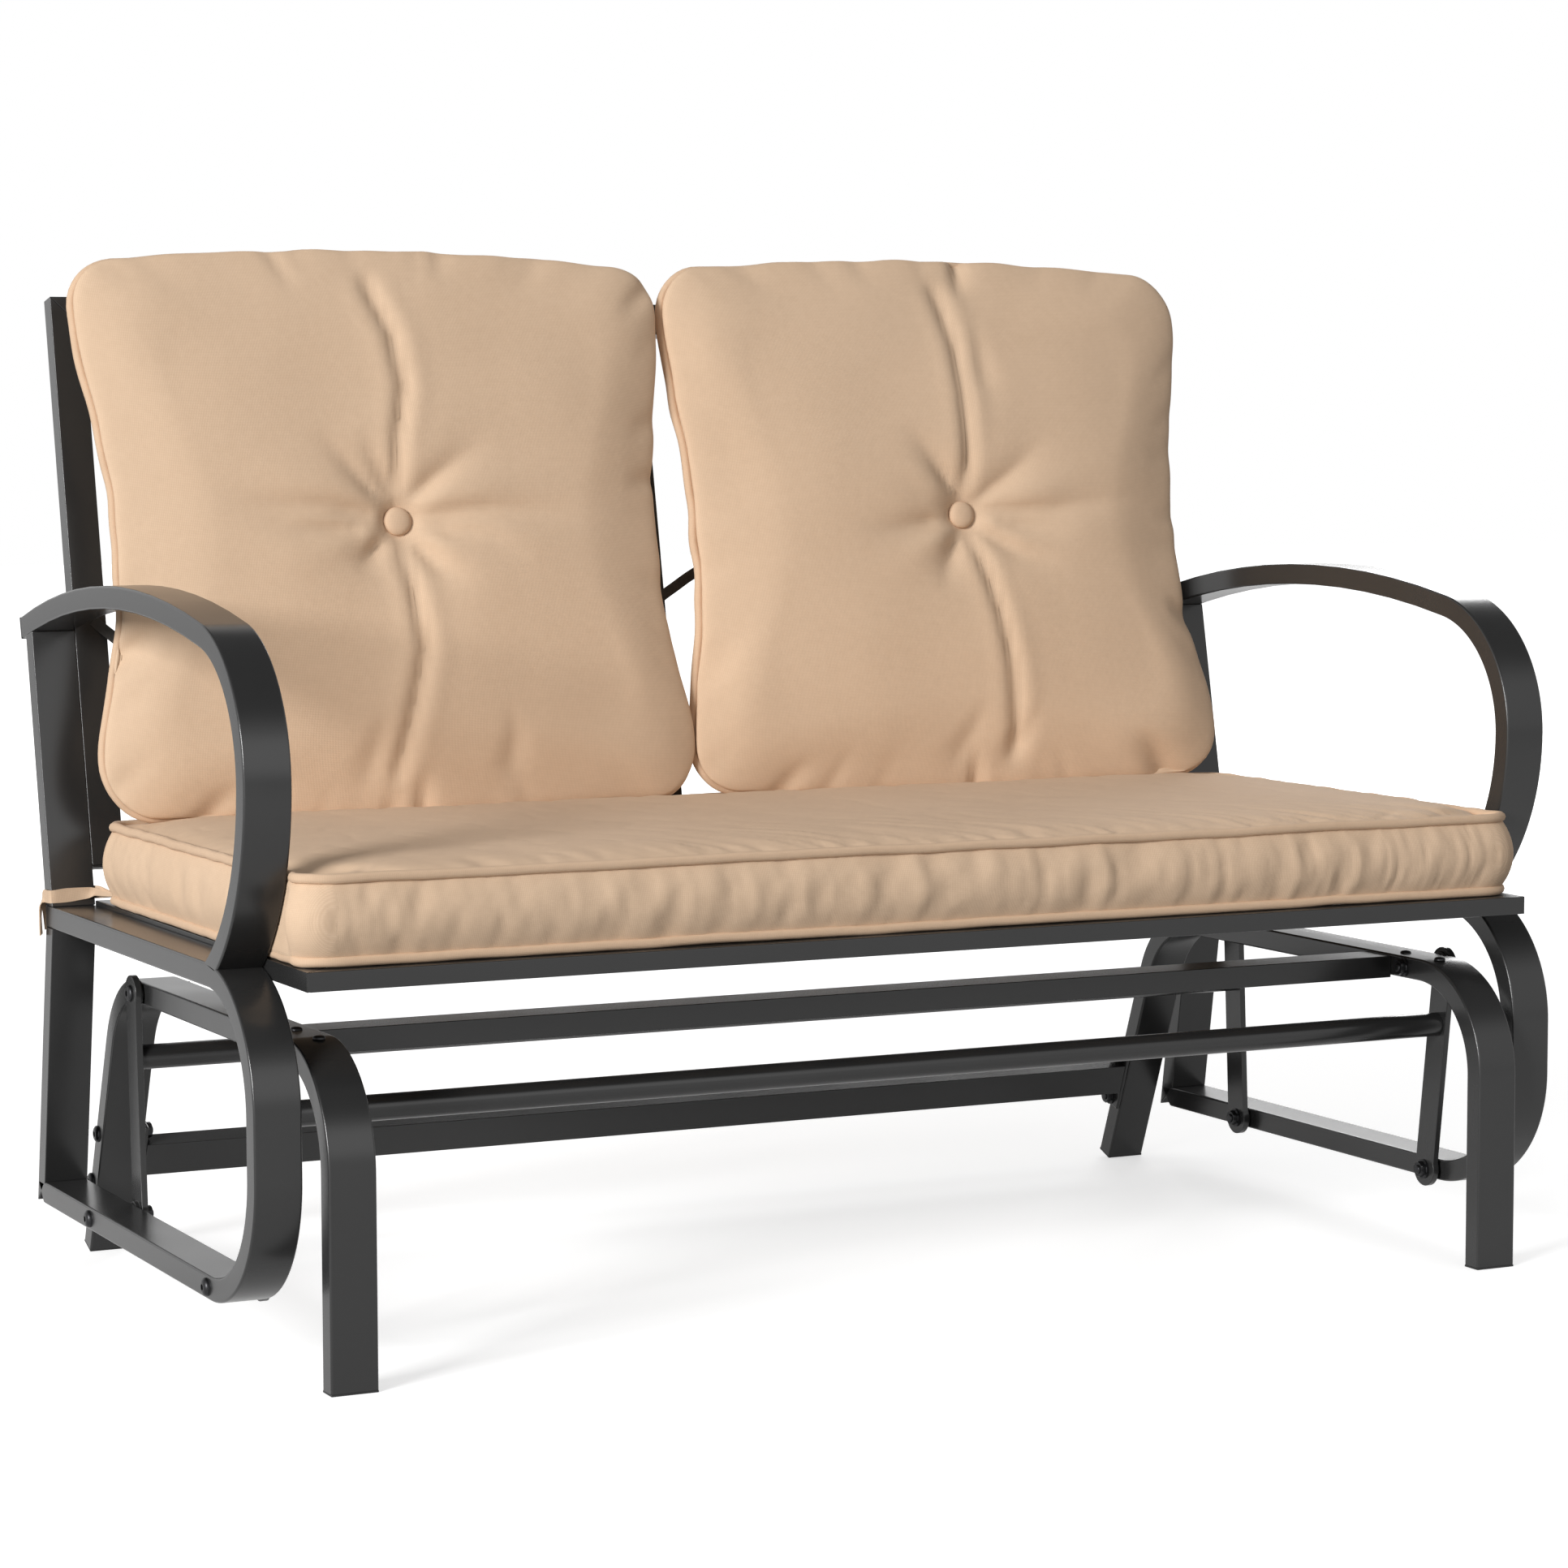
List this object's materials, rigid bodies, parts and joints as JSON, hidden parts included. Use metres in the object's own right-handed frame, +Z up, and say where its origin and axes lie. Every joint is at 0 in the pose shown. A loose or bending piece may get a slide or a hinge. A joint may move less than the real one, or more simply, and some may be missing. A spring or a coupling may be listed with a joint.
{
  "type": "glider bench",
  "caption": "Patio glider bench: black tube frame with looped sides and arched arms, a seat that swings on links above a fixed base, and tan cushions.",
  "frame": {"origin": "on the floor, under the middle of the bench's width and depth", "axes": "+X to the right seen from the front, +Y towards the back, +Z up"},
  "size_m": [1.248, 0.7028, 0.9147],
  "materials": {
    "powder_coated_steel": "black powder coat, half gloss",
    "black_hardware": "black zinc, half gloss",
    "plug_plastic": "black moulded plastic",
    "cushion_cloth": "tan woven outdoor cloth",
    "covered_buttons": "tan cloth over a button",
    "tie_tape": "tan cloth tape"
  },
  "bodies": {
    "base": {"base_end_plates": "powder_coated_steel", "base_front_rail": "powder_coated_steel", "base_rear_rail": "powder_coated_steel", "base_side_left": "powder_coated_steel", "base_side_right": "powder_coated_steel", "foot_plugs": "plug_plastic", "top_pivot_bolts": "black_hardware", "top_pivot_nuts": "black_hardware"},
    "rear_swing": {"rear_link_left": "powder_coated_steel", "rear_link_right": "powder_coated_steel", "rear_link_tube": "powder_coated_steel"},
    "front_swing": {"front_link_left": "powder_coated_steel", "front_link_right": "powder_coated_steel", "front_link_tube": "powder_coated_steel"},
    "seat": {"armrest_left": "powder_coated_steel", "armrest_right": "powder_coated_steel", "back_bottom_rail": "powder_coated_steel", "back_centre_post": "powder_coated_steel", "back_cushion_buttons": "covered_buttons", "back_cushion_left": "cushion_cloth", "back_cushion_right": "cushion_cloth", "back_post_left": "powder_coated_steel", "back_post_plugs": "plug_plastic", "back_post_right": "powder_coated_steel", "back_top_rail": "powder_coated_steel", "bottom_pivot_bolts": "black_hardware", "bottom_pivot_nuts": "black_hardware", "seat_cushion": "cushion_cloth", "seat_cushion_ties": "tie_tape", "seat_front_rail": "powder_coated_steel", "seat_lower_upright_left": "powder_coated_steel", "seat_lower_upright_right": "powder_coated_steel", "seat_rear_rail": "powder_coated_steel", "seat_side_left": "powder_coated_steel", "seat_side_rail_left": "powder_coated_steel", "seat_side_rail_right": "powder_coated_steel", "seat_side_right": "powder_coated_steel", "seat_support_bars": "powder_coated_steel", "seat_upper_upright_left": "powder_coated_steel", "seat_upper_upright_right": "powder_coated_steel", "side_end_plugs": "plug_plastic"}
  },
  "joints": [
    {"name": "rear_swing_hinge", "type": "hinge", "parent": "base", "child": "rear_swing", "pos_m": [0, 0.1319, 0.262], "axis": [1, 0, 0], "range_deg": [-15, 15]},
    {"name": "front_swing_hinge", "type": "hinge", "parent": "base", "child": "front_swing", "pos_m": [0, -0.2305, 0.262], "axis": [1, 0, 0], "range_deg": [-15, 15]},
    {"name": "seat_hinge", "type": "hinge", "parent": "rear_swing", "child": "seat", "pos_m": [0, 0.1208, 0.066], "axis": [1, 0, 0], "range_deg": [-16.7, 16.7]}
  ],
  "couplings": [
    {"joint": "front_swing_hinge", "follows": "rear_swing_hinge", "ratio": 1},
    {"joint": "seat_hinge", "follows": "rear_swing_hinge", "ratio": -1.1099}
  ]
}
